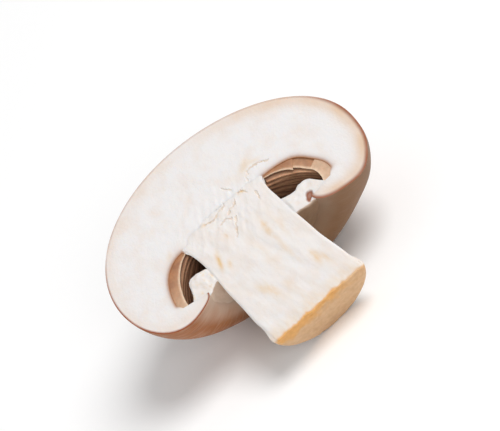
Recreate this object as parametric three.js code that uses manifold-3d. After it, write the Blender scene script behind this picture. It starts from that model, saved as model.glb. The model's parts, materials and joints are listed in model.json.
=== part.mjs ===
import * as THREE from 'three';
import { mergeVertices } from 'three/addons/utils/BufferGeometryUtils.js';
import Module from 'manifold-3d';

// Half of a brown-skinned button mushroom, cut lengthwise, in millimetres.
// It is modelled whole and upright on the Z axis, with the stem's butt at z = 0 and the cap up.
// Then the half in front of the XZ plane is cut away, and what is left is laid on its back.

const wasm = await Module();
wasm.setup();

// Driving dimensions: cap
const CAP_WIDTH = 50;
const DOME_HEIGHT = 16.4;
const MARGIN_DROP = 9.3;
const MARGIN_REACH = 5;
const MARGIN_ROLL = 2.8;

// Gill chamber, from the stem's side to the cap's wall and from the sill to the ceiling
const CHAMBER_WIDTH = 8;
const CHAMBER_HEIGHT = 6.9;
const SILL_HEIGHT = 1.5;

// Stem, up to the chamber's ceiling, and how far its top domes into the cap
const STEM_WIDTH = 17.4;
const STEM_LENGTH = 23.7;
const STEM_DOME = 2.3;
const WAIST_PINCH = 0.35;
const BUTT_FLARE = 1.05;
const BUTT_EDGE = 0.8;

// Gills on the half, and veil
const BLADES = 44;
const BLADE_THICKNESS = 0.3;
const GILL_DEPTH = 2;
const BED_THICKNESS = 0.5;
const BLADE_TAPER = 0.45;
const VEIL_THICKNESS = 2.2;
const VEIL_OVERLAP = 3;
const FIT_GAP = 0.3;

// How far this one grew out of round
const CAP_DEPTH_RATIO = 0.87;
const SIDE_BULGE = 1.5;
const SIDE_DROOP = 0.05;
const STEM_LEAN = 0.9;
const BUTT_SLANT = 0.07;

// Segments around the whole mushroom
const AROUND = 72;

// Radii and levels that follow
const capRadius = CAP_WIDTH / 2;
const stemRadius = STEM_WIDTH / 2;
const socketRadius = stemRadius + FIT_GAP;
const chamberRadius = socketRadius + CHAMBER_WIDTH;
const tipRadius = chamberRadius - MARGIN_REACH;
const ceilingZ = STEM_LENGTH;
const chamberFloorZ = ceilingZ - CHAMBER_HEIGHT;
const tipZ = chamberFloorZ - SILL_HEIGHT;
const rimZ = tipZ - MARGIN_ROLL;
const widestZ = rimZ + MARGIN_DROP;

const MATERIALS = {
  flesh: new THREE.MeshStandardMaterial({ color: 0xeee6df, roughness: 0.75, metalness: 0 }),
  stem: new THREE.MeshStandardMaterial({ color: 0xece0d2, roughness: 0.8, metalness: 0 }),
  gill: new THREE.MeshStandardMaterial({ color: 0x8a6448, roughness: 0.7, metalness: 0 }),
  veil: new THREE.MeshStandardMaterial({ color: 0xe9ddd2, roughness: 0.8, metalness: 0 }),
};

// Points on part of an ellipse, angles in degrees
function arc(x, z, radiusX, radiusZ, from, to, steps) {
  const start = THREE.MathUtils.degToRad(from);
  const end = THREE.MathUtils.degToRad(to);
  return new THREE.EllipseCurve(x, z, radiusX, radiusZ, start, end, to < from).getPoints(steps);
}

// Points on a smooth curve through a few hand-picked ones
function smooth(points, steps) {
  const corners = points.map(([x, z]) => new THREE.Vector2(x, z));
  return new THREE.SplineCurve(corners).getPoints(steps);
}

// The ceiling of the gill chamber, moved inwards, seen in section
function ceiling(inset, from, to, steps) {
  const width = CHAMBER_WIDTH - inset;
  const rise = CHAMBER_HEIGHT - inset;
  return arc(socketRadius, chamberFloorZ, width, rise, from, to, steps);
}

// The shape the mushroom grew into: wider and lower on one side, shallow from front to back,
// with a leaning stem and a slanted butt
function grow(geometry) {
  const place = geometry.getAttribute('position');
  const point = new THREE.Vector3();
  for (let i = 0; i < place.count; i += 1) {
    point.fromBufferAttribute(place, i);
    const { x, y, z } = point;
    const radius = Math.hypot(x, y);
    const low = Math.max(0, 1 - z / chamberFloorZ);
    const outer = THREE.MathUtils.smoothstep(radius, stemRadius, chamberRadius);
    point.x += SIDE_BULGE * (x / capRadius) ** 2 + STEM_LEAN * low ** 2;
    point.y *= 1 - (1 - CAP_DEPTH_RATIO) * outer;
    point.z -= SIDE_DROOP * x + BUTT_SLANT * y * low;
    place.setXYZ(i, point.x, point.y, point.z);
  }
  return geometry;
}

// A closed geometry as a solid that can be joined and cut
function toSolid(geometry) {
  const bare = geometry.clone();
  bare.deleteAttribute('normal');
  bare.deleteAttribute('uv');
  const merged = mergeVertices(bare, 1e-4);
  const vertProperties = new Float32Array(merged.getAttribute('position').array);
  const corners = Array.from(merged.getIndex().array);
  const triVerts = [];
  for (let i = 0; i < corners.length; i += 3) {
    const [a, b, c] = corners.slice(i, i + 3);
    if (a !== b && b !== c && c !== a) triVerts.push(a, b, c);
  }
  const mesh = new wasm.Mesh({ numProp: 3, vertProperties, triVerts: new Uint32Array(triVerts) });
  return new wasm.Manifold(mesh);
}

function toGeometry(solid) {
  const { vertProperties, triVerts } = solid.getMesh();
  const geometry = new THREE.BufferGeometry();
  geometry.setAttribute('position', new THREE.BufferAttribute(vertProperties, 3));
  geometry.setIndex(new THREE.BufferAttribute(triVerts, 1));
  geometry.computeVertexNormals();
  return geometry;
}

// A profile of (radius, height) points turned once around the Z axis
function turned(profile) {
  const geometry = new THREE.LatheGeometry(profile, AROUND);
  geometry.rotateX(Math.PI / 2);
  return grow(geometry);
}

// The half behind the knife
function halved(solid) {
  const reach = 2 * (CAP_WIDTH + STEM_LENGTH + DOME_HEIGHT);
  const knife = new THREE.BoxGeometry(reach, reach, reach);
  knife.translate(0, reach / 2, 0);
  return toGeometry(solid.intersect(toSolid(knife)));
}

// Cap flesh and skin: socket for the stem, gill chamber, inrolled margin and dome
function capProfile() {
  return [
    new THREE.Vector2(0, ceilingZ + STEM_DOME),
    ...arc(0, ceilingZ, socketRadius, STEM_DOME, 90, 0, 5).slice(1),
    ...ceiling(0, 90, 0, 9).slice(1),
    new THREE.Vector2(chamberRadius - SILL_HEIGHT / 2, tipZ + SILL_HEIGHT / 3),
    ...arc(chamberRadius, tipZ, MARGIN_REACH, MARGIN_ROLL, 180, 270, 6),
    ...arc(chamberRadius, widestZ, capRadius - chamberRadius, MARGIN_DROP, 270, 360, 8).slice(1),
    ...arc(0, widestZ, capRadius, DOME_HEIGHT, 0, 90, 14).slice(1, -1),
    new THREE.Vector2(0, widestZ + DOME_HEIGHT),
  ];
}

// Stem: a butt that flares a little, a slim shank and a top that domes into the cap
function stemProfile() {
  const buttRadius = stemRadius + BUTT_FLARE;
  const topZ = ceilingZ - FIT_GAP;
  const shank = [
    [buttRadius, BUTT_EDGE],
    [(buttRadius + stemRadius) / 2, 0.15 * STEM_LENGTH],
    [stemRadius, 0.45 * STEM_LENGTH],
    [stemRadius - WAIST_PINCH, 0.78 * STEM_LENGTH],
    [stemRadius, topZ],
  ];
  return [
    new THREE.Vector2(0, 0),
    new THREE.Vector2(buttRadius - BUTT_EDGE, 0),
    ...smooth(shank, 12),
    ...arc(0, topZ, stemRadius, STEM_DOME, 0, 90, 5).slice(1, -1),
    new THREE.Vector2(0, topZ + STEM_DOME),
  ];
}

// Veil: the band of flesh that still joins the cap's margin to the stem
function veilProfile() {
  const floorZ = tipZ + 2 * FIT_GAP;
  const topZ = floorZ + VEIL_THICKNESS;
  const outerRadius = tipRadius + VEIL_OVERLAP;
  const corners = [
    [socketRadius, floorZ - 0.5 * VEIL_THICKNESS],
    [tipRadius - 2 * FIT_GAP, floorZ - 0.2 * VEIL_THICKNESS],
    [tipRadius, floorZ],
    [outerRadius, floorZ + FIT_GAP],
    [outerRadius - FIT_GAP, floorZ + 0.5 * VEIL_THICKNESS],
    [tipRadius + 0.6 * VEIL_OVERLAP, topZ],
    [(socketRadius + tipRadius) / 2, topZ - 0.1 * VEIL_THICKNESS],
    [socketRadius, topZ + 0.2 * VEIL_THICKNESS],
  ];
  const outline = corners.map(([x, z]) => new THREE.Vector2(x, z));
  return [...outline, outline[0].clone()];
}

// Gill bed: the thin layer under the ceiling that the blades hang from
function bedProfile() {
  const outer = ceiling(FIT_GAP, 6, 86, 9);
  const inner = ceiling(FIT_GAP + BED_THICKNESS, 86, 6, 9);
  return [...outer, ...inner, outer[0].clone()];
}

// One gill blade, a thin crescent that stands out from the bed
function bladeShape() {
  const steps = 7;
  const root = FIT_GAP + BED_THICKNESS / 2;
  const edge = [];
  for (let i = steps; i >= 0; i -= 1) {
    const taper = Math.sin(Math.PI * (i + 0.5) / (steps + 1)) ** BLADE_TAPER;
    const angle = THREE.MathUtils.lerp(12, 82, i / steps);
    edge.push(ceiling(root + (GILL_DEPTH - root) * taper, angle, angle, 1)[0]);
  }
  return new THREE.Shape([...ceiling(root, 12, 82, steps), ...edge]);
}

function blade(angle) {
  const options = { depth: BLADE_THICKNESS, bevelEnabled: false };
  const geometry = new THREE.ExtrudeGeometry(bladeShape(), options);
  geometry.translate(0, 0, -BLADE_THICKNESS / 2);
  geometry.rotateX(Math.PI / 2);
  geometry.rotateZ(angle);
  return toSolid(grow(geometry));
}

function gillSolid() {
  let crown = toSolid(turned(bedProfile()));
  for (let i = 0; i < BLADES; i += 1) {
    crown = crown.add(blade(Math.PI * (i + 0.5) / BLADES));
  }
  return crown;
}

function piece(name, geometry, material) {
  const mesh = new THREE.Mesh(geometry, material);
  mesh.name = name;
  return mesh;
}

// How high a mesh's lowest point is when the half lies on its back with its stem end dipped
function lowest(mesh, tilt) {
  const place = mesh.geometry.getAttribute('position');
  let least = Infinity;
  for (let i = 0; i < place.count; i += 1) {
    least = Math.min(least, place.getZ(i) * Math.sin(tilt) - place.getY(i) * Math.cos(tilt));
  }
  return least;
}

// The tilt at which the back of the cap and the back of the butt touch the ground together
function restingTilt(cap, stem) {
  let low = 0;
  let high = Math.PI / 3;
  for (let i = 0; i < 40; i += 1) {
    const tilt = (low + high) / 2;
    if (lowest(stem, tilt) > lowest(cap, tilt)) low = tilt;
    else high = tilt;
  }
  return low;
}

const cap = piece('cap', halved(toSolid(turned(capProfile()))), MATERIALS.flesh);
const stem = piece('stem', halved(toSolid(turned(stemProfile()))), MATERIALS.stem);
const veil = piece('veil', halved(toSolid(turned(veilProfile()))), MATERIALS.veil);
const gills = piece('gills', halved(gillSolid()), MATERIALS.gill);

const tilt = restingTilt(cap, stem);
const half = new THREE.Group();
half.add(cap, stem, veil, gills);
half.rotation.x = tilt - Math.PI / 2;

const mushroom = new THREE.Group();
mushroom.add(half);
mushroom.updateMatrixWorld(true);
const box = new THREE.Box3().setFromObject(mushroom, true);
const middle = box.getCenter(new THREE.Vector3());
half.position.set(-middle.x, -middle.y, -box.min.z);

export default mushroom;
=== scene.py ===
"""Half of a brown-skinned button mushroom, cut lengthwise and lying on its back.

Each piece is modelled upright, with the stem on the Z axis, its butt at the ground and the cut on
the plane y = 0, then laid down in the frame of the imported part. All lengths are in metres.
"""

import json
import math
from types import SimpleNamespace

import bmesh
import bpy
from bpy.props import FloatProperty, FloatVectorProperty, IntProperty, PointerProperty
from mathutils import Matrix, Vector, noise


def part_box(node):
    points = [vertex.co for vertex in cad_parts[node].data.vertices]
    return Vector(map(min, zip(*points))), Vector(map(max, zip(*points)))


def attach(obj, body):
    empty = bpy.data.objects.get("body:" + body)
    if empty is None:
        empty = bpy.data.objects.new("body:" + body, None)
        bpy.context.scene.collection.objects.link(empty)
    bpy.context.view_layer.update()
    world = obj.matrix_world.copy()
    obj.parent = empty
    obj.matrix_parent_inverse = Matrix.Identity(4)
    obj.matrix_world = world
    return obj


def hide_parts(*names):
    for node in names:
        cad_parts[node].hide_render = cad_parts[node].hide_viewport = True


bl_info = {
    "name": "Halved Button Mushroom",
    "version": (1, 0, 0),
    "blender": (4, 5, 0),
    "location": "3D View > Sidebar > Mushroom",
    "description": "Builds the cap, stem, gills and veil of a halved mushroom and a studio to see it in",
    "category": "Add Mesh",
}

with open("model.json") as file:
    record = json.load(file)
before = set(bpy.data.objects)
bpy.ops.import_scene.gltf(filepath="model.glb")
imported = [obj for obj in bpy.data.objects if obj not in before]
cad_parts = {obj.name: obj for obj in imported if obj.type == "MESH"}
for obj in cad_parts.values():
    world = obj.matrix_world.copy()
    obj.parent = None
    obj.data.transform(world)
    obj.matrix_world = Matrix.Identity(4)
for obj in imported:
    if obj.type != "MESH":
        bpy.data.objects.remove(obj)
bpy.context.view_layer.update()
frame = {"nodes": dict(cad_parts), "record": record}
MM = 0.001
BODY = "root"


# ---------------- sizes and colours

def length(name, description, millimetres):
    """A length that a user may change."""
    return FloatProperty(
        name=name, description=description, default=millimetres * MM, min=0.0, unit="LENGTH", precision=5
    )


def colour(name, description, code):
    """A colour that a user may change, given as an sRGB hex code."""
    return FloatVectorProperty(
        name=name, description=description, default=linear(code),
        size=3, min=0.0, max=1.0, subtype="COLOR",
    )


def linear(code):
    """An sRGB hex code as a linear colour."""
    parts = [int(code[i:i + 2], 16) / 255 for i in (1, 3, 5)]
    return tuple(p / 12.92 if p <= 0.04045 else ((p + 0.055) / 1.055) ** 2.4 for p in parts)


class MushroomSizes(bpy.types.PropertyGroup):
    """The sizes that the mushroom is built from."""

    cap_width: length("Cap width", "Width of the cap across the cut", 50)
    dome_height: length("Dome height", "From the cap's widest ring to its top", 16.4)
    margin_drop: length("Margin drop", "From the cap's widest ring to its lowest edge", 9.3)
    margin_reach: length("Margin reach", "How far the rolled margin reaches back to the stem", 5)
    margin_roll: length("Margin roll", "How far the margin turns up again", 2.8)
    chamber_width: length("Chamber width", "From the stem's side to the cap's inner wall", 8)
    chamber_height: length("Chamber height", "From the sill of the gill chamber to its ceiling", 6.9)
    sill_height: length("Sill height", "From the margin's tip up to the chamber's sill", 1.5)
    stem_width: length("Stem width", "Width of the stem across the cut", 17.4)
    stem_length: length("Stem length", "From the butt to the chamber's ceiling", 23.7)
    stem_dome: length("Stem dome", "How far the stem's flesh rises into the cap", 2.3)
    waist_pinch: length("Waist pinch", "How much slimmer each side is below the cap", 0.35)
    butt_flare: length("Butt flare", "How much wider each side is at the butt", 1.05)
    butt_edge: length("Butt edge", "Height of the rounding at the butt", 0.8)
    fit_gap: length("Fit gap", "Clearance that the packed part keeps between pieces", 0.3)
    side_bulge: length("Side bulge", "How far the cap grew out to one side", 1.5)
    stem_lean: length("Stem lean", "How far the butt grew out to the same side", 0.9)
    gill_depth: length("Gill depth", "From the chamber's ceiling to the blades' free edges", 2)
    blade_thickness: length("Blade thickness", "Thickness of one gill blade", 0.38)
    cap_depth_ratio: FloatProperty(
        name="Cap depth ratio", description="Depth of the cap behind the cut against half its width",
        default=0.87,
    )
    side_droop: FloatProperty(
        name="Side droop", description="Slope of the whole mushroom down to its wider side", default=0.05
    )
    butt_slant: FloatProperty(
        name="Butt slant", description="Slope of the butt down to the back", default=0.07
    )
    blades: IntProperty(
        name="Blades", description="Gill blades that reach the stem, on the half", default=22, min=8, max=200
    )


class MushroomColours(bpy.types.PropertyGroup):
    """The colours that give the mushroom its looks."""

    flesh: colour("Flesh", "Fresh-cut flesh", "#DDDAD9")
    flesh_shade: colour("Flesh shade", "Faint warm mottling in the flesh", "#DACFC7")
    flesh_warm: colour("Flesh warm", "Flesh just under the skin", "#D2B496")
    tan: colour("Tan", "Bruised patches and old edges", "#D6B88E")
    skin: colour("Skin", "Brown skin of the cap", "#A66636")
    skin_dark: colour("Skin dark", "Fibrils and the oldest skin", "#6E3C1C")
    # Painted shade: the skin under the wider side is darkened, partly also its own greyer tone
    skin_greyed_painted_shade: colour("Skin dusky", "Greyish skin under the wider side", "#7C5C3E")
    skin_pale: colour("Skin pale", "Young skin at the rolled margin", "#DCC4B0")
    skin_edge: colour("Skin edge", "Skin where the knife went through it", "#884214")
    gill_rim: colour("Gill rim", "Free edges of the blades next to the cut", "#E2C6AA")
    gill_cut: colour("Gill cut", "Sides of the blades and the chamber's wall next to the cut", "#9C6840")
    # Gill and gill dark are the lit and the shaded ends of the blades' colour; the dark end is painted shade
    # over their own dark brown
    gill: colour("Gill", "Blades deeper in the chamber", "#C49876")
    gill_dark_painted_shade: colour("Gill dark", "Between the deepest blades", "#5A341E")
    butt: colour("Butt", "Dry end of the stem", "#D2AE88")
    butt_crust: colour("Butt crust", "Orange-tan strip next to the cut", "#DCA664")
    floor: colour("Floor", "Studio floor", "#FDFDFD")


# ---------------- shape of the mushroom

def levels(s):
    """Radii and levels that follow from the sizes."""
    n = SimpleNamespace()
    n.cap = s.cap_width / 2
    n.stem = s.stem_width / 2
    n.socket = n.stem + s.fit_gap
    n.chamber = n.socket + s.chamber_width
    n.tip = n.chamber - s.margin_reach
    n.ceiling_z = s.stem_length
    n.sill_z = n.ceiling_z - s.chamber_height
    n.tip_z = n.sill_z - s.sill_height
    n.rim_z = n.tip_z - s.margin_roll
    n.widest_z = n.rim_z + s.margin_drop
    n.top_z = n.widest_z + s.dome_height
    return n


def settings(context):
    """The sizes, colours and levels that a piece is built from."""
    sizes = context.scene.mushroom_sizes
    return sizes, context.scene.mushroom_colours, levels(sizes)


def smoothstep(value, low, high):
    """0 below low, 1 above high and a smooth climb between them."""
    t = min(1.0, max(0.0, (value - low) / (high - low)))
    return t * t * (3 - 2 * t)


# Places where this mushroom strays from an even one, as (across, up, shift across, shift up, reach)
STRAYS = (
    (-12.5, 20.5, 0.0, -0.75, 5.0),
    (-16.0, 19.5, 0.5, 0.0, 3.2),
    (-8.6, 24.0, -0.4, -0.3, 2.0),
    (-11.7, 15.6, 1.0, -0.35, 2.0),
    (21.2, 12.6, 0.5, -0.75, 3.4),
    (24.5, 15.5, 0.45, -0.1, 3.0),
    (15.5, 22.5, 0.2, 0.45, 2.8),
    (18.0, 17.4, 0.35, 0.0, 2.0),
    (8.6, 21.3, -0.35, 0.0, 2.0),
)


def grow(s, point):
    """Where a point of an evenly round mushroom lies in this one, which grew to one side."""
    n = levels(s)
    x, y, z = point
    low = max(0.0, 1 - z / n.sill_z)
    outer = smoothstep(math.hypot(x, y), n.stem, n.chamber)
    grown = Vector((
        x + s.side_bulge * (x / n.cap) ** 2 + s.stem_lean * low ** 2,
        y * (1 - (1 - s.cap_depth_ratio) * outer),
        z - s.side_droop * x - s.butt_slant * y * low,
    ))
    for across, up, shift_across, shift_up, reach in STRAYS:
        away = Vector((grown.x / MM - across, y / MM / 3, grown.z / MM - up)).length / reach
        if away < 3:
            pull = math.exp(-away * away) * MM
            grown.x += shift_across * pull
            grown.z += shift_up * pull
    return grown


def arc(centre, radii, start, end, count=24):
    """Points (radius, height) on part of an ellipse, angles in degrees."""
    turns = [math.radians(start + (end - start) * i / count) for i in range(count + 1)]
    return [Vector((centre[0] + radii[0] * math.cos(a), centre[1] + radii[1] * math.sin(a))) for a in turns]


def walk(points, fraction):
    """The point a fraction of the way along a polyline."""
    spans = [(b - a).length for a, b in zip(points, points[1:])]
    left = fraction * sum(spans)
    for a, b, span in zip(points, points[1:], spans):
        if left <= span and span > 0:
            return a.lerp(b, left / span)
        left -= span
    return points[-1].copy()


def near(points, spot):
    """Distance from a spot to a polyline."""
    best = 1.0
    for a, b in zip(points, points[1:]):
        run = b - a
        t = min(1.0, max(0.0, (spot - a).dot(run) / max(run.length_squared, 1e-18)))
        best = min(best, (a + run * t - spot).length)
    return best


def ripple(x, y, z=0.0, octaves=2):
    """Smooth noise between about -1 and 1."""
    return noise.fractal(Vector((x, y, z)), 0.8, 2.0, octaves)


# ---------------- building and laying down

def half_turned(place, columns, rows, steps, marks):
    """A closed half body: a section laid out as a grid, turned half round the Z axis.

    place(u, v) gives the section's (radius, height) for u and v from 0 to 1. The section shows on
    the cut at both sides, and its outline sweeps round the back. marks maps the names of attributes
    to functions of (u, v, spot), which are worked out once and go round with the section.
    """
    bm = bmesh.new()
    bmesh.ops.create_grid(bm, x_segments=columns, y_segments=rows, size=0.5)
    layers = {name: bm.verts.layers.float.new(name) for name in marks}
    for v in bm.verts:
        u, w = v.co.x + 0.5, v.co.y + 0.5
        radius, height = place(u, w)
        v.co = Vector((max(radius, 0.0), 0, height))
        for name, layer in layers.items():
            v[layer] = marks[name](u, w, Vector((v.co.x, v.co.z)))
    section = bm.faces[:]
    outline = [e for e in bm.edges if e.is_boundary and max(v.co.x for v in e.verts) > 0.001 * MM]
    other = bmesh.ops.duplicate(bm, geom=section)["geom"]
    turned = [g for g in other if isinstance(g, bmesh.types.BMVert)]
    bmesh.ops.rotate(bm, verts=turned, cent=(0, 0, 0), matrix=Matrix.Rotation(math.pi, 3, "Z"))
    bmesh.ops.spin(bm, geom=outline, cent=(0, 0, 0), axis=(0, 0, 1), angle=math.pi, steps=steps)
    bmesh.ops.remove_doubles(bm, verts=bm.verts, dist=0.002 * MM)
    bmesh.ops.dissolve_degenerate(bm, edges=bm.edges, dist=0.001 * MM)
    bmesh.ops.recalc_face_normals(bm, faces=bm.faces)
    return bm


def on_cut(v):
    """True for a point on the knife's plane, before it is given its relief."""
    return abs(v.co.y) < 0.001 * MM


def bearing(co):
    """The angle of a point round the Z axis: 0 on the wider side of the cut, pi on the other."""
    return math.atan2(max(co.y, 0.0), co.x)


def refine(bm, wanted, cuts):
    """Splits the faces on the knife's plane whose middle is wanted(middle)."""
    chosen = [
        f for f in bm.faces if all(on_cut(v) for v in f.verts) and wanted(f.calc_center_median())
    ]
    edges = list({e for f in chosen for e in f.edges})
    bmesh.ops.subdivide_edges(bm, edges=edges, cuts=cuts, use_grid_fill=True)


def paint(bm, name, value):
    """Writes value(vertex) to a named attribute that the materials read."""
    layer = bm.verts.layers.float.new(name)
    for v in bm.verts:
        v[layer] = value(v)


def lay_down(s):
    """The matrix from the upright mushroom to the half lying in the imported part's frame."""
    n = levels(s)
    cut = next(m for m in frame["record"]["mounts"] if m["name"] == "cut_face")
    outward = Vector(cut["axis"]).normalized()
    upward = Vector((0, outward.z, -outward.y))
    dome = arc((0, n.widest_z), (n.cap, s.dome_height), 0, 180, 180)
    crown = max(grow(s, (p.x, 0, p.y)).z for p in dome)
    cap = frame["nodes"]["cap"].data.vertices
    low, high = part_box("cap")
    turn = Matrix((Vector((1, 0, 0)), -outward, upward)).transposed().to_4x4()
    shift = outward * outward.dot(Vector(cut["pos_m"]))
    shift += upward * (max(upward.dot(v.co) for v in cap) - crown)
    shift.x = (low.x + high.x) / 2 - s.side_bulge
    return Matrix.Translation(shift) @ turn


def finish_piece(s, bm, name, node, materials, sharp=40):
    """Makes a piece of a bmesh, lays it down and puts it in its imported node's place."""
    for v in bm.verts:
        v.co = grow(s, v.co)
    bmesh.ops.transform(bm, matrix=lay_down(s), verts=bm.verts)
    bm.normal_update()
    for face in bm.faces:
        face.smooth = True
    for edge in bm.edges:
        edge.smooth = len(edge.link_faces) != 2 or edge.calc_face_angle(0) < math.radians(sharp)
    mesh = bpy.data.meshes.new(name)
    bm.to_mesh(mesh)
    bm.free()
    for material in materials:
        mesh.materials.append(material)
    piece = bpy.data.objects.new(name, mesh)
    bpy.context.scene.collection.objects.link(piece)
    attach(piece, BODY)
    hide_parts(node)


# ---------------- marks on the cut

# Cracks where the stem's flesh tore from the cap's, as (across, up) from the butt, in millimetres
CRACKS = (
    ((6.5, 24.9), (6.9, 25.6), (7.6, 26.3), (8.6, 26.4), (9.9, 26.1), (11.2, 25.3)),
    ((2.6, 27.1), (3.2, 26.3), (3.6, 25.8)),
    ((4.1, 24.5), (4.6, 24.5), (5.0, 24.1), (5.2, 23.5)),
    ((6.4, 22.7), (6.4, 21.9), (6.1, 21.2)),
    ((1.3, 24.9), (0.9, 24.3), (-0.5, 24.3), (-1.3, 23.8), (-2.3, 23.8), (-3.4, 24.1)),
    ((3.0, 23.9), (2.3, 23.3), (1.3, 23.2), (0.6, 22.7)),
    ((1.3, 21.6), (0.5, 20.7), (-0.2, 19.7), (-0.9, 18.7)),
    ((-1.6, 22.3), (-0.4, 22.4), (0.5, 21.8)),
)
# Tan patches as (across, up, half width, half height, turn in degrees, strength)
PATCHES = (
    (-5.9, 17.6, 0.45, 1.9, -24, 1.0),
    (-4.9, 15.9, 0.4, 0.8, -34, 0.5),
    (-3.2, 7.4, 0.7, 1.7, 8, 0.7),
    (-4.4, 8.8, 0.5, 1.2, 0, 0.4),
    (5.6, 6.9, 0.55, 1.3, -4, 0.85),
    (6.6, 5.0, 0.4, 1.5, 6, 0.5),
    (3.4, 12.5, 0.5, 3.5, 2, 0.35),
    (3.6, 16.6, 0.55, 1.5, -10, 0.8),
    (5.6, 15.2, 0.6, 2.2, -4, 0.3),
    (-2.2, 20.2, 0.35, 0.6, 0, 0.8),
    (7.9, 27.4, 1.6, 0.7, 28, 0.6),
    (9.7, 26.9, 1.2, 0.4, -20, 0.4),
    (-11.3, 24.6, 1.0, 0.5, 30, 0.4),
    (-3.7, 24.2, 0.45, 0.35, 0, 0.9),
    (4.6, 24.2, 0.6, 0.3, -20, 0.6),
    (0.5, 13.0, 0.8, 4.0, 0, 0.2),
    (-0.5, 4.5, 0.8, 3.0, 0, 0.25),
    (-15.4, 16.3, 1.3, 0.45, 10, 0.55),
)
# The little curl where the skin ends on the wider side: across, up, half length and half width
CURL = (11.9, 15.6, 1.05, 0.58)
# How deep a crack and the curl are, and how far a flesh that lies over another stands back from it
CRACK_DEPTH = 0.25 * MM
CURL_DEPTH = 0.35 * MM
SET_BACK = 0.16 * MM


def crack_distance(x, z):
    """Millimetres from a point on the cut to the nearest crack."""
    spot = Vector((x / MM, z / MM))
    if not (-6 < spot.x < 13 and 17 < spot.y < 29):
        return 9.0
    wander = Vector((ripple(spot.x * 1.7, spot.y * 1.7), ripple(spot.x * 1.7, spot.y * 1.7, 7)))
    return min(near([Vector(p) for p in line], spot + wander * 0.22) for line in CRACKS)


def crack(x, z):
    """1 in the middle of a crack, falling to 0 beside it, and weaker here and there."""
    distance = crack_distance(x, z)
    if distance > 0.3:
        return 0.0
    return (1 - smoothstep(distance, 0.02, 0.24)) * (0.65 + 0.35 * ripple(x / MM, z / MM, 21))


def patch(x, z):
    """How strongly the flesh is tanned."""
    total = 0.0
    for px, pz, wide, tall, turn, strength in PATCHES:
        c, t = math.cos(math.radians(turn)), math.sin(math.radians(turn))
        dx, dz = x / MM - px, z / MM - pz
        a, b = (dx * c + dz * t) / wide, (dz * c - dx * t) / tall
        total += strength * math.exp(-(a * a + b * b))
    return min(1.0, total)


def curl(x, z):
    """1 round the rim of the curl, weaker inside it and 0 outside."""
    dx, dz = x / MM - CURL[0], z / MM - CURL[1]
    out = math.hypot((dx + dz) * 0.707 / CURL[2], (dz - dx) * 0.707 / CURL[3])
    out += 0.25 * ripple(x / MM * 1.2, z / MM * 1.2, 41)
    return (1 - smoothstep(out, 0.6, 1.15)) * (0.8 + 0.2 * smoothstep(out, 0.3, 0.8))


def junction(s, x):
    """The uneven level where the stem's flesh meets the cap's, across the cut."""
    n = levels(s)
    rise = max(0.0, 1 - (x / n.socket) ** 2) ** 0.5
    return n.ceiling_z + s.stem_dome * rise * 0.5 + 0.35 * MM * ripple(x / MM * 0.55, 3.1, 0, 3)


def fibres(x, z):
    """Lengthwise ridges of torn fibre on the stem's cut, in metres."""
    across, up = x / MM, z / MM
    broad = ripple(across * 0.36 + 0.08 * up, up * 0.2, 5, 2)
    fine = ripple(across * 1.6 + 0.1 * ripple(across, up * 0.3), up * 0.22, 11, 3)
    return (0.15 * broad + 0.022 * fine) * MM


def knife(x, z):
    """The faint waves that a knife leaves, in metres."""
    return 0.03 * MM * ripple(x / MM * 0.35, z / MM * 0.35, 2, 3)


# ---------------- materials

def add(tree, kind, inputs=None, stops=None, **settings):
    """Adds a shader node with its settings. An input is a value or the output it is linked to."""
    made = tree.nodes.new("ShaderNode" + kind)
    for key, value in settings.items():
        setattr(made, key, value)
    for key, value in (inputs or {}).items():
        if isinstance(value, bpy.types.NodeSocket):
            tree.links.new(value, made.inputs[key])
        else:
            made.inputs[key].default_value = value
    for i, (position, shade) in enumerate(stops or ()):
        made.color_ramp.elements[i].position = position
        made.color_ramp.elements[i].color = (*shade, 1.0)
    return made


def layered(tree, base, *layers):
    """Lays colours over a base, one after another, each as far as the attribute it comes with says."""
    for name, shade in layers:
        share = add(tree, "Attribute", attribute_name=name)
        mix = add(
            tree, "Mix", {0: share.outputs["Fac"], 6: base, 7: (*shade, 1)}, data_type="RGBA"
        )
        base = mix.outputs[2]
    return base


def toned(tree, base, texture, share, stops):
    """Multiplies a colour by a texture's tones, given as two stops, as far as share says."""
    tones = add(tree, "ValToRGB", {"Fac": texture.outputs["Fac"]}, stops=stops)
    mix = add(
        tree, "Mix", {0: share, 6: base, 7: tones.outputs[0]},
        data_type="RGBA", blend_type="MULTIPLY",
    )
    return mix.outputs[2]


def new_material(name, values):
    """A material with its output and a Principled shader that has these values, with tree and shader."""
    material = bpy.data.materials.new(name)
    material.use_nodes = True
    tree = material.node_tree
    tree.nodes.clear()
    shader = add(tree, "BsdfPrincipled", values)
    add(tree, "OutputMaterial", {"Surface": shader.outputs[0]})
    return material, tree, shader


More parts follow.
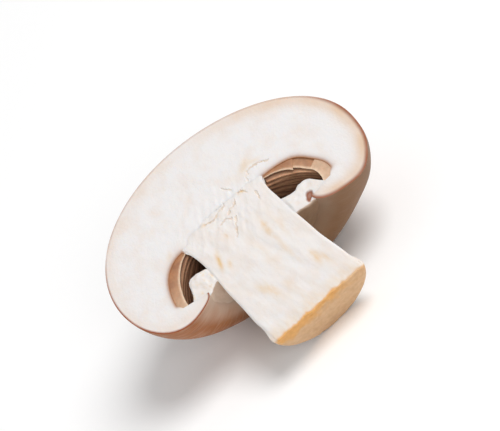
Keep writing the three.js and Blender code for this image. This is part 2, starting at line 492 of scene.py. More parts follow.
def flesh_material(colours, name):
    """Fresh mushroom flesh, cut by a knife: white, waxy and slightly see-through, never glossy.

    Light goes about a millimetre into it. Skin shows as a thin line where it was cut through.
    """
    material, tree, shader = new_material(name, {
        "Roughness": 0.62, "IOR": 1.4, "Specular IOR Level": 0.35, "Subsurface Weight": 0.3,
        "Subsurface Scale": 0.0012, "Subsurface Radius": (1.0, 0.75, 0.55),
    })
    place = add(tree, "TexCoord").outputs["Object"]
    along = add(tree, "Attribute", attribute_name="grain").outputs["Vector"]
    # Mottling about 3 mm across and grain about 0.4 mm across
    mottle = add(tree, "TexNoise", {"Vector": place, "Scale": 330.0, "Detail": 5.0})
    grain = add(tree, "TexNoise", {"Vector": place, "Scale": 2500.0, "Detail": 3.0})
    soft = add(
        tree, "ValToRGB", {"Fac": mottle.outputs["Fac"]},
        stops=((0.46, colours.flesh), (0.85, colours.flesh_shade)),
    )
    haloed = layered(tree, soft.outputs[0], ("halo", colours.flesh_warm))
    tanned = add(tree, "Attribute", attribute_name="tan")
    # Stains keep to the fibres: on the stem they are about 1 mm wide and 2.5 mm long
    stain = add(tree, "TexNoise", {"Vector": along, "Scale": 1.6, "Detail": 5.0, "Roughness": 0.6})
    spread = add(
        tree, "ValToRGB", {"Fac": stain.outputs["Fac"]},
        stops=((0.3, (0.25, 0.25, 0.25)), (0.62, (1, 1, 1))),
    )
    broken = add(
        tree, "Math", {0: tanned.outputs["Fac"], 1: spread.outputs[0]}, operation="MULTIPLY"
    )
    bruised = add(
        tree, "Mix", {0: broken.outputs[0], 6: haloed, 7: (*colours.tan, 1)},
        data_type="RGBA",
    )
    # The veil's underside takes the same painted shade as the skin under the wider side
    final = layered(
        tree, bruised.outputs[2], ("chamber", colours.gill_cut), ("young", colours.skin_pale),
        ("shaded", colours.skin_greyed_painted_shade), ("skin_line", colours.skin_edge),
    )
    bump = add(tree, "Bump", {"Height": grain.outputs["Fac"], "Distance": 0.00008, "Strength": 0.5})
    dents = add(
        tree, "Bump",
        {"Height": stain.outputs["Fac"], "Normal": bump.outputs[0], "Distance": 0.00015, "Strength": 0.35},
    )
    tree.links.new(final, shader.inputs["Base Color"])
    tree.links.new(dents.outputs[0], shader.inputs["Normal"])
    return material


def stem_material(colours):
    """Stem flesh, cut by a knife along its fibres, with a dry orange-tan crust at the trimmed end."""
    material = flesh_material(colours, "stem_flesh_knife_cut")
    tree = material.node_tree
    shader = next(n for n in tree.nodes if n.type == "BSDF_PRINCIPLED")
    plain = shader.inputs["Base Color"].links[0].from_socket
    place = add(tree, "TexCoord").outputs["Object"]
    # Dry specks about 0.8 mm across
    speck = add(tree, "TexNoise", {"Vector": place, "Scale": 1200.0, "Detail": 4.0})
    dry = layered(tree, (*colours.butt, 1), ("crust", colours.butt_crust))
    dirty = toned(tree, dry, speck, 0.8, ((0.3, (0.86, 0.82, 0.78)), (0.65, (1, 1, 1))))
    butt = add(tree, "Attribute", attribute_name="butt")
    final = add(
        tree, "Mix", {0: butt.outputs["Fac"], 6: plain, 7: dirty}, data_type="RGBA"
    )
    tree.links.new(final.outputs[2], shader.inputs["Base Color"])
    return material


def skin_material(colours):
    """Brown mushroom skin, grown: a dry silky cuticle with fine fibrils from the crown to the margin."""
    material, tree, shader = new_material("mushroom_skin_grown", {
        "Roughness": 0.55, "Specular IOR Level": 0.3, "IOR": 1.42, "Sheen Weight": 0.05,
        "Subsurface Weight": 0.12, "Subsurface Scale": 0.0008,
    })
    place = add(tree, "TexCoord").outputs["Object"]
    around = add(tree, "Attribute", attribute_name="grain").outputs["Vector"]
    # Fibrils about 0.4 mm wide and several millimetres long
    fibrils = add(tree, "TexNoise", {"Vector": around, "Scale": 1.3, "Detail": 5.0})
    # The crown is smooth: fibrils and scales show only away from it
    fibrous = add(tree, "Attribute", attribute_name="fibrous").outputs["Fac"]
    # Cloudy tone about 9 mm across, and paler scales about 1 mm wide and 3 mm long
    cloud = add(tree, "TexNoise", {"Vector": place, "Scale": 110.0, "Detail": 3.0})
    longer = add(tree, "VectorMath", {0: around, 1: (0.5, 2.0, 2.0)}, operation="MULTIPLY")
    scales = add(tree, "TexNoise", {"Vector": longer.outputs[0], "Scale": 1.0, "Detail": 5.0})
    brown = add(
        tree, "ValToRGB", {"Fac": cloud.outputs["Fac"]},
        stops=((0.2, colours.skin_dark), (0.55, colours.skin)),
    )
    flecked = add(
        tree, "ValToRGB", {"Fac": scales.outputs["Fac"]},
        stops=((0.46, (0, 0, 0)), (0.8, (0.3, 0.3, 0.3))),
    )
    scaly = add(tree, "Math", {0: flecked.outputs[0], 1: fibrous}, operation="MULTIPLY")
    paler = add(
        tree, "Mix",
        {0: scaly.outputs[0], 6: brown.outputs[0], 7: (*colours.skin_pale, 1)}, data_type="RGBA",
    )
    share = add(tree, "Math", {0: fibrous, 1: 0.4}, operation="MULTIPLY")
    streaked = toned(
        tree, paler.outputs[2], fibrils, share.outputs[0], ((0.35, (0.68, 0.62, 0.58)), (0.62, (1, 1, 1)))
    )
    # Painted shade on the underside of the wider side, then the pale young margin over it
    final = layered(tree, streaked, ("painted_underside_shade", colours.skin_greyed_painted_shade), ("young", colours.skin_pale))
    bump = add(
        tree, "Bump",
        {"Height": fibrils.outputs["Fac"], "Distance": 0.0001, "Strength": share.outputs[0]},
    )
    rough = add(
        tree, "Bump",
        {"Height": cloud.outputs["Fac"], "Normal": bump.outputs[0], "Distance": 0.0003, "Strength": 0.4},
    )
    tree.links.new(final, shader.inputs["Base Color"])
    tree.links.new(rough.outputs[0], shader.inputs["Normal"])
    return material


def gill_material(colours):
    """Gill blades, grown: thin, brown and velvety with spores, paler where the knife laid one bare, with
    painted light and shade by how deep they lie.
    """
    material, tree, shader = new_material("gill_blades_grown", {
        "Roughness": 0.6, "Subsurface Weight": 0.1, "Subsurface Scale": 0.0005,
    })
    place = add(tree, "TexCoord").outputs["Object"]
    # Streaks about 0.5 mm across
    streaks = add(tree, "TexNoise", {"Vector": place, "Scale": 1800.0, "Detail": 3.0})
    # Painted light and shade: lighter at the free edges and near the cut, darker deeper in the chamber and
    # on the narrower side
    lit = add(tree, "Attribute", attribute_name="lit")
    inner = add(
        tree, "ValToRGB", {"Fac": lit.outputs["Fac"]},
        stops=((0.1, colours.gill_dark_painted_shade), (0.9, colours.gill)),
    )
    laid = layered(tree, inner.outputs[0], ("bare", colours.gill_cut))
    # Blotches about 1.5 mm across on the bare sides
    blotch = add(tree, "TexNoise", {"Vector": place, "Scale": 650.0, "Detail": 3.0})
    sides = toned(tree, laid, blotch, 1.0, ((0.36, (0.84, 0.76, 0.7)), (0.62, (1.12, 1.1, 1.08))))
    rimmed = layered(tree, sides, ("rim", colours.gill_rim))
    final = toned(tree, rimmed, streaks, 0.8, ((0.3, (0.84, 0.8, 0.78)), (0.7, (1, 1, 1))))
    bump = add(
        tree, "Bump", {"Height": streaks.outputs["Fac"], "Distance": 0.00005, "Strength": 0.4}
    )
    tree.links.new(final, shader.inputs["Base Color"])
    tree.links.new(bump.outputs[0], shader.inputs["Normal"])
    return material


def floor_material(colours):
    """Studio floor, matt painted: pale, even and without gloss."""
    material, tree, shader = new_material(
        "studio_floor_matt_paint", {"Roughness": 0.9, "Specular IOR Level": 0.1}
    )
    place = add(tree, "TexCoord").outputs["Object"]
    # Roller stipple about 2 mm across, only just there
    stipple = add(tree, "TexNoise", {"Vector": place, "Scale": 500.0, "Detail": 1.0})
    tone = add(
        tree, "ValToRGB", {"Fac": stipple.outputs["Fac"]},
        stops=((0.0, [c * 0.992 for c in colours.floor]), (1.0, colours.floor)),
    )
    tree.links.new(tone.outputs[0], shader.inputs["Base Color"])
    return material


# ---------------- the pieces

def cap_curves(s):
    """The cap's section as matched pairs of curves, (inside, outside), from the tip to the axis."""
    n = levels(s)
    roll = arc((n.chamber, n.tip_z), (s.margin_reach, s.margin_roll), 180, 270)
    margin = arc((n.chamber, n.widest_z), (n.cap - n.chamber, s.margin_drop), 270, 360)
    dome = arc((0, n.widest_z), (n.cap, s.dome_height), 0, 90, 48)
    sill = [roll[0], Vector((n.chamber - s.sill_height / 2, n.tip_z + s.sill_height / 3))]
    sill += [Vector((n.chamber, n.sill_z))]
    ceiling = arc((n.socket, n.sill_z), (s.chamber_width, s.chamber_height), 0, 90)
    root = arc((0, n.ceiling_z - 1.2 * MM), (n.socket - 0.4 * MM, s.stem_dome), 0, 90)
    return (sill, roll + margin[1:]), (ceiling + root, dome)


class MUSHROOM_OT_cap(bpy.types.Operator):
    """Build the cap: white flesh with its gill chamber, rolled margin and brown skin"""

    bl_idname = "mushroom.cap"
    bl_label = "Cap"

    def execute(self, context):
        s, colours, n = settings(context)
        (sill, side), (ceiling, dome) = cap_curves(s)
        share, rows = 0.4, 42
        skin = (side + dome[1:])[::2] + dome[-1:]
        wall = sill[1:] + ceiling[:26:2]

        def place(u, v):
            inside, outside = (sill, side) if u <= share else (ceiling, dome)
            f = u / share if u <= share else (u - share) / (1 - share)
            inner, outer = walk(inside, f), walk(outside, f)
            span = (outer - inner).length
            left = (1 - v) * rows
            # Two thin rows under the skin carry the line that the knife leaves of it
            under = 0.2 * MM * left if left < 2 else 0.4 * MM + (span - 0.4 * MM) * (left - 2) / (rows - 2)
            return outer.lerp(inner, under / max(span, 0.5 * MM))

        marks = {
            "under_skin": lambda u, v, spot: near(skin, spot) if v < 1 else 0.0,
            "from_wall": lambda u, v, spot: near(wall, spot),
        }
        bm = half_turned(place, columns=170, rows=rows, steps=84, marks=marks)
        refine(bm, lambda p: crack_distance(p.x, p.z) < 0.45 and p.z > n.ceiling_z - 2 * MM, 2)
        under = bm.verts.layers.float["under_skin"]
        wall_far = bm.verts.layers.float["from_wall"]
        for face in bm.faces:
            shown = all(on_cut(v) for v in face.verts)
            outside = all(v[under] == 0.0 for v in face.verts)
            face.material_index = 1 if outside and not shown else 0
        paint(bm, "skin_line", lambda v: max(skin_line(s, v.co, v[under]), curl(v.co.x, v.co.z)))
        paint(bm, "halo", lambda v: halo(v.co, v[under]))
        paint(bm, "young", lambda v: 0.0 if on_cut(v) and v[under] else young_skin(s, v.co))
        # Painted shade under the wider side, over skin that is a little greyer there
        paint(bm, "painted_underside_shade", lambda v: painted_shade_on_skin(s, v.co))
        paint(bm, "fibrous", lambda v: smoothstep(math.hypot(v.co.x, v.co.y), 3 * MM, 19 * MM))
        paint(bm, "tan", cap_tan)
        paint(bm, "chamber", lambda v: lining(s, v.co, v[wall_far]))
        grain = bm.verts.layers.float_vector.new("grain")
        for v in bm.verts:
            turn = bearing(v.co) * n.cap
            along = Vector((math.hypot(v.co.x, v.co.y), v.co.z - n.sill_z)).length
            v[grain] = Vector((turn / (0.5 * MM), along / (6 * MM), v.co.z / (6 * MM)))
        for v in bm.verts:
            if on_cut(v):
                inset = smoothstep(v[under], 0.1 * MM, 0.9 * MM)
                inside = smoothstep(junction(s, v.co.x) - v.co.z, -0.6 * MM, 0.8 * MM)
                inside *= 1 - smoothstep(abs(v.co.x), n.socket - 0.5 * MM, n.socket + 0.1 * MM)
                height = knife(v.co.x, v.co.z) + folds(s, v.co.x, v.co.z)
                height -= CRACK_DEPTH * crack(v.co.x, v.co.z) + CURL_DEPTH * curl(v.co.x, v.co.z)
                lip = 0.08 * MM * lining(s, v.co, v[wall_far])
                v.co.y += lip - height * inset + SET_BACK * inside
            elif v[under] == 0.0:
                swell = ripple(v.co.x / MM * 0.12, v.co.y / MM * 0.12, v.co.z / MM * 0.12, 3)
                v.co += v.co.normalized() * 0.12 * MM * swell * min(1.0, v.co.y / (2 * MM))
        flesh = flesh_material(colours, "mushroom_flesh_knife_cut")
        skins = skin_material(colours)
        finish_piece(s, bm, "cap_flesh_and_skin", "cap", [flesh, skins])
        return {"FINISHED"}


def skin_line(s, co, under):
    """How strongly the skin's cut edge shows: dark round the margin, faint over the crown."""
    n = levels(s)
    low = 1 - smoothstep(co.z, n.widest_z + 1 * MM, n.widest_z + 11 * MM)
    patchy = 0.5 + 0.5 * ripple(co.x / MM * 0.3, co.z / MM * 0.3, 9, 3)
    strength = min(1.0, 0.22 + 0.35 * patchy + 0.6 * low)
    wider = low * smoothstep(co.x, 4 * MM, 12 * MM)
    reach = (0.3 + 0.2 * low + 0.3 * wider) * MM
    return strength * (1 - 0.1 * wider) * (1 - smoothstep(under, 0.1 * MM, reach))


def halo(co, under):
    """A faint warm band in the flesh under the skin, stronger on the wider side."""
    side = 0.35 + 0.65 * smoothstep(co.x, 4 * MM, 20 * MM)
    patchy = 0.6 + 0.4 * ripple(co.x / MM * 0.22, co.z / MM * 0.22, 19, 2)
    return side * patchy * math.exp(-(((under - 0.7 * MM) / (1.3 * MM)) ** 2))


def lining(s, co, from_wall):
    """1 at the wall of the gill chamber, falling to 0 in the flesh and along the sill."""
    n = levels(s)
    above = smoothstep(co.z, n.sill_z - 0.9 * MM, n.sill_z + 0.3 * MM)
    return above * math.exp(-max(0.0, from_wall - 0.12 * MM) / (0.3 * MM))


def young_skin(s, co):
    """How pale the skin is: young at the rolled margin and brown from there out."""
    n = levels(s)
    waves = ripple(co.x / MM * 0.3, co.y / MM * 0.3, co.z / MM * 0.3, 2)
    wider = smoothstep(co.x, -6 * MM, 8 * MM)
    reach = (5.2 - 1.4 * wider) * MM
    out = math.hypot(co.x, co.y) - n.tip + 0.7 * MM * waves
    under = 1 - smoothstep(co.z, n.tip_z, n.widest_z)
    return 0.9 * (1 - smoothstep(out, -1.0 * MM, reach)) * under * (1 - 0.7 * wider)


def painted_shade_on_skin(s, co):
    """How much painted shade darkens the skin, which is a little greyer there too: on the underside of the
    wider side.
    """
    n = levels(s)
    under = 1 - smoothstep(co.z, n.widest_z - 5 * MM, n.widest_z + 1 * MM)
    return 0.9 * under * smoothstep(co.x, -15 * MM, 3 * MM)


def cap_tan(v):
    """Tanning of the cap's flesh: patches and cracks on the cut, and all of it behind the cut."""
    if not on_cut(v):
        return 0.8
    return min(1.0, patch(v.co.x, v.co.z) + 0.6 * crack(v.co.x, v.co.z))


def folds(s, x, z):
    """Soft folds where the stem's flesh runs into the cap's, in metres."""
    n = levels(s)
    spot = Vector((x / (9 * MM), (z - n.ceiling_z + 0.5 * MM) / (5.5 * MM)))
    slope = (z + 0.75 * x) / MM
    across = (x - 0.75 * z) / MM
    return 0.16 * MM * math.exp(-spot.length_squared) * ripple(slope * 0.25, across * 0.75, 31, 3)


def stem_side(s, height):
    """The stem's radius at a height, flaring at the butt and where it runs into the cap."""
    n = levels(s)
    butt = n.stem + s.butt_flare
    knots = (
        (0.0, butt - s.butt_edge), (0.35 * s.butt_edge, butt - 0.25 * s.butt_edge), (s.butt_edge, butt),
        (0.15 * s.stem_length, n.stem + 0.5 * s.butt_flare), (0.45 * s.stem_length, n.stem),
        (0.78 * s.stem_length, n.stem - s.waist_pinch), (n.ceiling_z - 0.5 * MM, n.stem - 0.1 * MM),
        (n.ceiling_z + 0.6 * MM, n.socket + 0.5 * MM), (n.top_z, n.socket + 0.5 * MM),
    )
    for (z0, r0), (z1, r1) in zip(knots, knots[1:]):
        if height <= z1:
            return r0 + (r1 - r0) * smoothstep(height, z0, z1)
    return knots[-1][1]


class MUSHROOM_OT_stem(bpy.types.Operator):
    """Build the stem: fibrous flesh laid bare by the knife, with its dry tan butt"""

    bl_idname = "mushroom.stem"
    bl_label = "Stem"

    def execute(self, context):
        s, colours, n = settings(context)
        top = n.ceiling_z + 0.9 * MM

        def place(u, v):
            height = (top + s.stem_dome * (1 - u * u)) * v
            return Vector((u * stem_side(s, height), height))

        marks = {"from_side": lambda u, v, spot: stem_side(s, spot.y) - spot.x if u < 1 else 0.0}
        bm = half_turned(place, columns=46, rows=120, steps=80, marks=marks)
        refine(bm, lambda p: crack_distance(p.x, p.z) < 0.45, 2)
        refine(bm, lambda p: p.z < 1.2 * MM, 2)
        side = bm.verts.layers.float["from_side"]
        grain = bm.verts.layers.float_vector.new("grain")
        for v in bm.verts:
            spread = v.co.x if on_cut(v) else bearing(v.co) * n.stem
            v[grain] = Vector((spread / (1.5 * MM), v.co.z / (4 * MM), v.co.y / (4 * MM)))
        paint(bm, "tan", stem_tan)
        paint(bm, "butt", butt_share)
        paint(bm, "crust", crust_share)
        for v in bm.verts:
            x, y, z = v.co
            edge = smoothstep(v[side], 0, 0.8 * MM)
            foot = smoothstep(z, 0, 0.8 * MM)
            if on_cut(v):
                over = smoothstep(z - junction(s, x), -0.6 * MM, 0.8 * MM)
                over = max(over, smoothstep(abs(x), n.socket - 0.1 * MM, n.socket + 0.3 * MM))
                height = fibres(x, z) * smoothstep(n.ceiling_z - z, -1 * MM, 3 * MM) + knife(x, z)
                height += folds(s, x, z) - CRACK_DEPTH * crack(x, z)
                v.co.y += SET_BACK * over - height * edge * foot
                v.co.y += 0.18 * MM * (1 - smoothstep(v[side], 0, 0.35 * MM))
            if z < 0.05 * MM:
                v.co.z += 0.18 * MM * ripple(x / MM * 0.45, y / MM * 0.45, 4, 3)
            if z < 1 * MM:
                v.co.z += (1 - z / MM) * steps_at_edge(x) * (1 - smoothstep(y, 0, 2.2 * MM))
            elif v[side] == 0.0 and y > 0:
                wave = ripple(bearing(v.co) * 5, z / MM * 0.12, 8, 3)
                v.co += Vector((x, y, 0)).normalized() * 0.12 * MM * wave
        finish_piece(s, bm, "stem_flesh", "stem", [stem_material(colours)])
        return {"FINISHED"}


def steps_at_edge(x):
    """The uneven edge that the knife left across the butt, in metres above the even one."""
    return (0.32 * ripple(x / MM * 0.3, 2.5, 6, 2) + 0.12 * ripple(x / MM * 1.1, 8, 6, 2)) * MM


def stem_tan(v):
    """Tanning of the stem: patches and cracks on the cut, a pale tan outside."""
    if not on_cut(v):
        return 0.35
    low = 0.35 * (1 - smoothstep(v.co.z, 0.3 * MM, 3.5 * MM))
    return min(1.0, 0.1 + patch(v.co.x, v.co.z) + 0.6 * crack(v.co.x, v.co.z) + low)


def butt_share(v):
    """1 on the dry end of the stem, spreading a little way up the cut."""
    reach = (0.35 + 0.5 * ripple(v.co.x / MM * 0.5, 14, 6, 3)) * MM if on_cut(v) else 0.5 * MM
    return 1 - smoothstep(v.co.z, max(0.0, reach - 0.45 * MM), reach + 0.3 * MM)


def crust_share(v):
    """How orange the dry end is: strongest next to the cut, on the narrower side."""
    x, y = v.co.x, v.co.y
    spread = (2.3 + 1.3 * ripple(x / MM * 0.35, y / MM * 0.35, 6, 3)) * MM
    side = 1 - 0.85 * smoothstep(x, 3.0 * MM, 7.0 * MM)
    corner = smoothstep(x, 8.3 * MM, 9.4 * MM) * 0.6
    return (1 - smoothstep(y, spread - 1.1 * MM, spread + 0.9 * MM)) * max(side, corner)


# The veil's section from the stem to the margin, in millimetres, on the wider and the other side
VEIL_BOTTOM = (
    ((7.8, 14.9), (9.1, 14.9), (10.5, 14.6), (11.6, 14.5), (12.6, 14.4), (14.2, 14.6), (16.4, 15.0)),
    ((7.8, 15.4), (9.1, 15.3), (10.2, 15.0), (11.4, 14.7), (12.4, 14.6), (13.4, 14.8), (14.8, 15.0)),
)
VEIL_TOP = (
    ((7.8, 18.9), (9.2, 18.2), (10.7, 17.9), (11.8, 18.5), (13.1, 18.3), (14.0, 17.3), (15.2, 15.6)),
    ((7.8, 18.4), (8.8, 18.6), (11.2, 19.4), (12.3, 19.1), (12.9, 18.4), (13.5, 17.3), (14.4, 15.6)),
)


class MUSHROOM_OT_veil(bpy.types.Operator):
    """Build the veil: the band of flesh that still joins the cap's margin to the stem"""

    bl_idname = "mushroom.veil"
    bl_label = "Veil"

    def execute(self, context):
        s, colours, n = settings(context)
        bottoms = [smooth_line(line) for line in VEIL_BOTTOM]
        tops = [smooth_line(line) for line in VEIL_TOP]

        def place(u, v):
            return walk(bottoms[0], u).lerp(walk(tops[0], u), v)

        def opposite(u, v):
            return walk(bottoms[1], u).lerp(walk(tops[1], u), v)

        marks = {
            "out": lambda u, v, spot: u, "up": lambda u, v, spot: v,
            "other_r": lambda u, v, spot: opposite(u, v).x, "other_z": lambda u, v, spot: opposite(u, v).y,
        }
        bm = half_turned(place, columns=64, rows=40, steps=80, marks=marks)
        outside = bm.verts.layers.float.new("outside")
        out, up, other_r, other_z = (bm.verts.layers.float[key] for key in marks)
        for v in bm.verts:
            cut = on_cut(v)
            turn = bearing(v.co)
            spot = Vector((math.hypot(v.co.x, v.co.y), v.co.z))
            spot = spot.lerp(Vector((v[other_r], v[other_z])), smoothstep(turn, 0.3, 1.6))
            lump = ripple(turn * 3.5, spot.x / MM * 0.45, spot.y / MM * 0.45, 3)
            spot.y += 0.22 * MM * lump * math.sin(math.pi * v[out])
            # Behind the cut the veil's underside runs into the margin without a notch
            behind = smoothstep(v.co.y, 0.2 * MM, 2.5 * MM) * (1 - v[up])
            spot.y -= 0.75 * MM * behind * smoothstep(v[out], 0.5, 0.8)
            # and on the narrower side its top sinks away, so that the chamber stays open
            sunk = smoothstep(-v.co.x, 0.0, 4 * MM) * smoothstep(v.co.y, 0.3 * MM, 2.5 * MM) * v[up]
            spot.y -= 2.2 * MM * sunk * smoothstep(v[out], 0.4, 0.75)
            v.co = Vector((spot.x * math.cos(turn), spot.x * math.sin(turn), spot.y))
            sill = n.tip_z - 0.2 * MM + 0.12 * max(0.0, spot.x - n.tip)
            joined = smoothstep(sill - spot.y, -0.1 * MM, 0.4 * MM)
            joined *= smoothstep(spot.x, n.tip - 0.5 * MM, n.tip + 0.2 * MM)
            buried = 1 - smoothstep(spot.x, n.stem - 0.3 * MM, n.stem + 0.1 * MM)
            v[outside] = 0.0 if cut else 1.0
            if cut:
                rough = ripple(v.co.x / MM * 0.6, v.co.z / MM * 0.6, 13, 2)
                rim = 1 - smoothstep(min(v[up], 1 - v[up]), 0.0, 0.12)
                calm = smoothstep(sill - spot.y, -1.6 * MM, 0.0)
                v.co.y = (0.16 * rough - 0.06) * MM * (1 - buried) * (1 - rim) * (1 - calm)
                v.co.y += (0.16 * buried + 0.05 * joined + 0.15 * rim) * MM
                v.co.y += CURL_DEPTH * curl(v.co.x, v.co.z) - knife(v.co.x, v.co.z)
        grain = bm.verts.layers.float_vector.new("grain")
        for v in bm.verts:
            v[grain] = v.co / (1.3 * MM)
        paint(bm, "tan", veil_tan)
        paint(bm, "skin_line", lambda v: curl(v.co.x, v.co.z) * (1 - v[outside]))
        paint(bm, "young", lambda v: v[outside] * (1 - 0.6 * smoothstep(v[up], 0.3, 0.8)))
        # Painted shade on the veil's underside, darker behind the cut and towards its bottom
        paint(
            bm, "shaded",
            lambda v: 0.9 * v[outside] * shade_below(v.co) * (1 - smoothstep(v[up], 0.3, 0.8)),
        )
        flesh = flesh_material(colours, "veil_membrane_torn")
        finish_piece(s, bm, "veil_membrane", "veil", [flesh], sharp=60)
        return {"FINISHED"}


def smooth_line(points):
    """A smooth run through a few (radius, height) points given in millimetres."""
    knots = [Vector(p) * MM for p in points]
    line = []
    for i in range(len(knots) - 1):
        before, after = knots[max(i - 1, 0)], knots[min(i + 2, len(knots) - 1)]
        a, b = knots[i], knots[i + 1]
        for step in range(6):
            t = step / 6
            bend = (b - before) * t * (1 - t) ** 2 / 2 - (after - a) * t * t * (1 - t) / 2
            line.append(a.lerp(b, t * t * (3 - 2 * t)) + bend)
    return line + [knots[-1]]


def shade_below(co):
    """How much painted shade darkens the veil's underside: like the skin beside it, on the wider side."""
    return smoothstep(co.x, -13 * MM, 4 * MM) * smoothstep(co.y, 0.2 * MM, 1.4 * MM)


def veil_tan(v):
    """Tanning of the veil: flecks on the cut of the narrower side, a dry tan outside."""
    flecks = ripple(v.co.x / MM * 1.1, v.co.y / MM, v.co.z / MM * 1.1, 2)
    side = 0.75 if v.co.x < 0 else 0.25
    return min(1.0, (0.15 + max(0.0, flecks)) * side)


# The blades that the knife laid bare: the side they are on, where they run from and to along the
# chamber's arc (degrees, 90 is at the stem), how deep they hang at the start, in the middle and at
# the end, how far they lie behind the cut (mm), and how pale they are at the start and the end
BARE_BLADES = (
    (1, 97, 52, (0.15, 0.8, 1.75), 0.14, (0.0, 0.1)),
    (1, 54, 12, (1.3, 1.6, 1.4), 0.26, (0.1, 0.0)),
    (1, 25, -18, (1.6, 1.75, 2.1), 0.1, (0.5, 0.8)),
    (-1, 97, -28, (0.2, 1.9, 1.1), 0.14, (0.0, 0.9)),
)


class MUSHROOM_OT_gills(bpy.types.Operator):
    """Build the gills: long and short blades that hang side by side from a thin bed"""

    bl_idname = "mushroom.gills"
    bl_label = "Gills"

    def execute(self, context):
        s, colours, n = settings(context)

        def ceiling(angle, inset):
            width, rise = s.chamber_width - inset, s.chamber_height - inset
            return Vector((n.socket + width * math.cos(angle), n.sill_z + rise * math.sin(angle)))

        def bed(u, v):
            return ceiling(math.radians(-6 + 102 * u), (0.35 - 0.55 * v) * MM)

        # The bed between the blades is painted dark: painted shade
        bm = half_turned(bed, columns=24, rows=2, steps=80, marks={"lit": lambda u, v, spot: 0.1})
        for v in bm.verts:
            if on_cut(v):
                v.co.y += 0.55 * MM
        lit = bm.verts.layers.float["lit"]
        bare = bm.verts.layers.float.new("bare")
        rim = bm.verts.layers.float.new("rim")

        def blade(turn_at, start, end, drops, thickness, deeper, laid, pale, number):
            """Adds one blade as a curved sheet, and gives it its thickness."""
            sheet = bmesh.ops.create_grid(bm, x_segments=18, y_segments=4, size=0.5)["verts"]
            first, middle, last = drops
            for v in sheet:
                u, w = v.co.x + 0.5, v.co.y + 0.5
                angle = math.radians(start + (end - start) * u)
                drop = first * (1 - u) * (1 - 2 * u) + 4 * middle * u * (1 - u) + last * u * (2 * u - 1)
                drop += 0.05 * ripple(number * 1.7, u * 4.0, 0, 2)
                spot = ceiling(angle, (drop * w - 0.12 * (1 - w)) * MM)
                turn = turn_at + deeper * 0.1 * MM * w * ripple(number * 0.6, u * 3.0) / spot.x
                v.co = Vector((spot.x * math.cos(turn), spot.x * math.sin(turn), spot.y))
                # Painted light and shade: lighter towards the free edge and the cut, darker deeper in the
                # chamber and on the narrower side
                far = min(1.0, max(0.0, v.co.y) / (9 * MM))
                v[lit] = (0.2 + 0.8 * w ** 4) * (1 - 0.85 * far) * (1 + 0.25 * ripple(number * 0.8, 2))
                v[lit] *= 1.0 if turn_at < math.pi / 2 else 0.6
                v[bare] = laid
                paler = pale[0] + (pale[1] - pale[0]) * u ** 3
                v[rim] = min(1.0, paler + 0.12 * w + 0.88 * smoothstep(w, 0.72, 1.0)) * laid
            faces = list({f for v in sheet for f in v.link_faces})
            grown = bmesh.ops.extrude_face_region(bm, geom=faces, use_keep_orig=True)["geom"]
            back = [g for g in grown if isinstance(g, bmesh.types.BMVert)]
            for v in back:
                radius, turn = math.hypot(v.co.x, v.co.y), bearing(v.co)
                turn += deeper * thickness / radius
                v.co.x, v.co.y = radius * math.cos(turn), radius * math.sin(turn)

        # Every fourth blade reaches the stem, those midway between stop just short of it, and short
        # ones fill in
        pitch = math.pi / s.blades
        for i in range(1, 4 * s.blades):
            turn = i / 4 * pitch + 0.03 * pitch * ripple(i * 0.7, 0)
            deeper = 1 if turn < math.pi / 2 else -1
            long = s.gill_depth / MM * (1 + 0.05 * ripple(i * 0.9, 8))
            end, drops, thickness = 97, (0.8, long * 1.1, 1.2), s.blade_thickness
            if i % 4 == 2:
                end, drops = 90 + 6 * ripple(i * 1.3, 4), (0.8, long * 1.05, 1.0)
            if i % 2 == 1:
                end, drops, thickness = 60 + 14 * ripple(i * 1.3, 4), (0.3, 0.8, 0.2), 0.2 * MM
            blade(turn, -8, end, drops, thickness, deeper, 0.0, (0, 0), i)
        for number, (side, start, end, drops, behind, pale) in enumerate(BARE_BLADES):
            turn = behind * MM / n.socket
            turn = turn if side > 0 else math.pi - turn
            blade(turn, start, end, drops, 0.3 * MM, side, 1.0, pale, 90 + number)
        bmesh.ops.recalc_face_normals(bm, faces=bm.faces)
        finish_piece(s, bm, "gill_blades", "gills", [gill_material(colours)])
        return {"FINISHED"}


# ---------------- the studio

FLOOR_RADIUS = 3.0
AIR_STRENGTH = 0.46
# Name, place, width and power in watts
LAMPS = (
    ("key_lamp", (0.9, -0.45, 1.5), 1.0, 21.0),
    ("front_lamp", (0.25, -1.75, 1.1), 0.9, 9.5),
)


class MUSHROOM_OT_stage(bpy.types.Operator):
    """Build the stage: a pale floor, soft lamps and the camera"""

    bl_idname = "mushroom.stage"
    bl_label = "Stage"

    def execute(self, context):
        s = context.scene.mushroom_sizes
        colours = context.scene.mushroom_colours
        scene = context.scene
        bm = bmesh.new()
        bmesh.ops.create_circle(bm, cap_ends=True, segments=64, radius=FLOOR_RADIUS)
        mesh = bpy.data.meshes.new("floor")
        bm.to_mesh(mesh)
        bm.free()
        mesh.materials.append(floor_material(colours))
        floor = bpy.data.objects.new("floor", mesh)
        scene.collection.objects.link(floor)
        for name, spot, size, power in LAMPS:
            lamp = bpy.data.lights.new(name, "AREA")
            lamp.shape = "DISK"
            lamp.size = size
            lamp.energy = power
            holder = bpy.data.objects.new(name, lamp)
            holder.location = spot
            holder.rotation_euler = (-Vector(spot)).to_track_quat("-Z", "Y").to_euler()
            scene.collection.objects.link(holder)
        world = bpy.data.worlds.new("studio_air")
        world.use_nodes = True
        air = world.node_tree.nodes["Background"].inputs
        air["Color"].default_value = (1, 1, 1, 1)
        air["Strength"].default_value = AIR_STRENGTH
        scene.world = world
        scene.view_settings.view_transform = "Standard"
        place_camera(scene, s)
        return {"FINISHED"}


CAMERA_DISTANCE = 0.456
CAMERA_LENS = 200.0
CAMERA_TILT = 24.0
CAMERA_ROLL = 44.5
# The point of the cut that it looks at, across and up
CAMERA_TARGET = (3.0 * MM, 19.8 * MM)


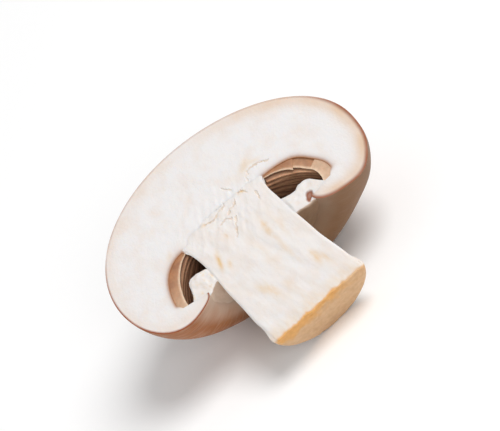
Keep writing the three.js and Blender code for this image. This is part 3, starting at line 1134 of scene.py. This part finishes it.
def place_camera(scene, s):
    """Looks at the cut from a little below its normal, towards the butt, turned round the view."""
    tilt, roll = math.radians(CAMERA_TILT), math.radians(CAMERA_ROLL)
    right = Vector((1, 0, 0))
    up = Vector((0, -math.sin(tilt), math.cos(tilt)))
    back = Vector((0, -math.cos(tilt), -math.sin(tilt)))
    turned_right = right * math.cos(roll) - up * math.sin(roll)
    turned_up = right * math.sin(roll) + up * math.cos(roll)
    turn = Matrix((turned_right, turned_up, back)).transposed().to_4x4()
    target = Vector((CAMERA_TARGET[0], 0, CAMERA_TARGET[1]))
    camera = bpy.data.objects.new("camera", bpy.data.cameras.new("camera"))
    camera.data.lens = CAMERA_LENS
    camera.data.clip_start = 0.01
    camera.matrix_world = lay_down(s) @ Matrix.Translation(target + back * CAMERA_DISTANCE) @ turn
    scene.collection.objects.link(camera)
    scene.camera = camera


class MUSHROOM_PT_panel(bpy.types.Panel):
    """Sizes, colours and buttons of the halved mushroom"""

    bl_label = "Halved Button Mushroom"
    bl_idname = "MUSHROOM_PT_panel"
    bl_space_type = "VIEW_3D"
    bl_region_type = "UI"
    bl_category = "Mushroom"

    def draw(self, context):
        for group in (context.scene.mushroom_sizes, context.scene.mushroom_colours):
            for key in group.__annotations__:
                self.layout.prop(group, key)
        for operator in OPERATORS:
            self.layout.operator(operator.bl_idname)


OPERATORS = (MUSHROOM_OT_cap, MUSHROOM_OT_stem, MUSHROOM_OT_veil, MUSHROOM_OT_gills, MUSHROOM_OT_stage)
CLASSES = (MushroomSizes, MushroomColours, *OPERATORS, MUSHROOM_PT_panel)


def register():
    """Makes the mushroom's classes and settings known to Blender."""
    for made in CLASSES:
        bpy.utils.register_class(made)
    bpy.types.Scene.mushroom_sizes = PointerProperty(type=MushroomSizes)
    bpy.types.Scene.mushroom_colours = PointerProperty(type=MushroomColours)


def unregister():
    """Takes the mushroom's classes and settings away again."""
    del bpy.types.Scene.mushroom_colours
    del bpy.types.Scene.mushroom_sizes
    for made in reversed(CLASSES):
        bpy.utils.unregister_class(made)


def main():
    register()
    bpy.ops.mushroom.cap()
    bpy.ops.mushroom.stem()
    bpy.ops.mushroom.veil()
    bpy.ops.mushroom.gills()
    bpy.ops.mushroom.stage()


if __name__ == "__main__":
    main()
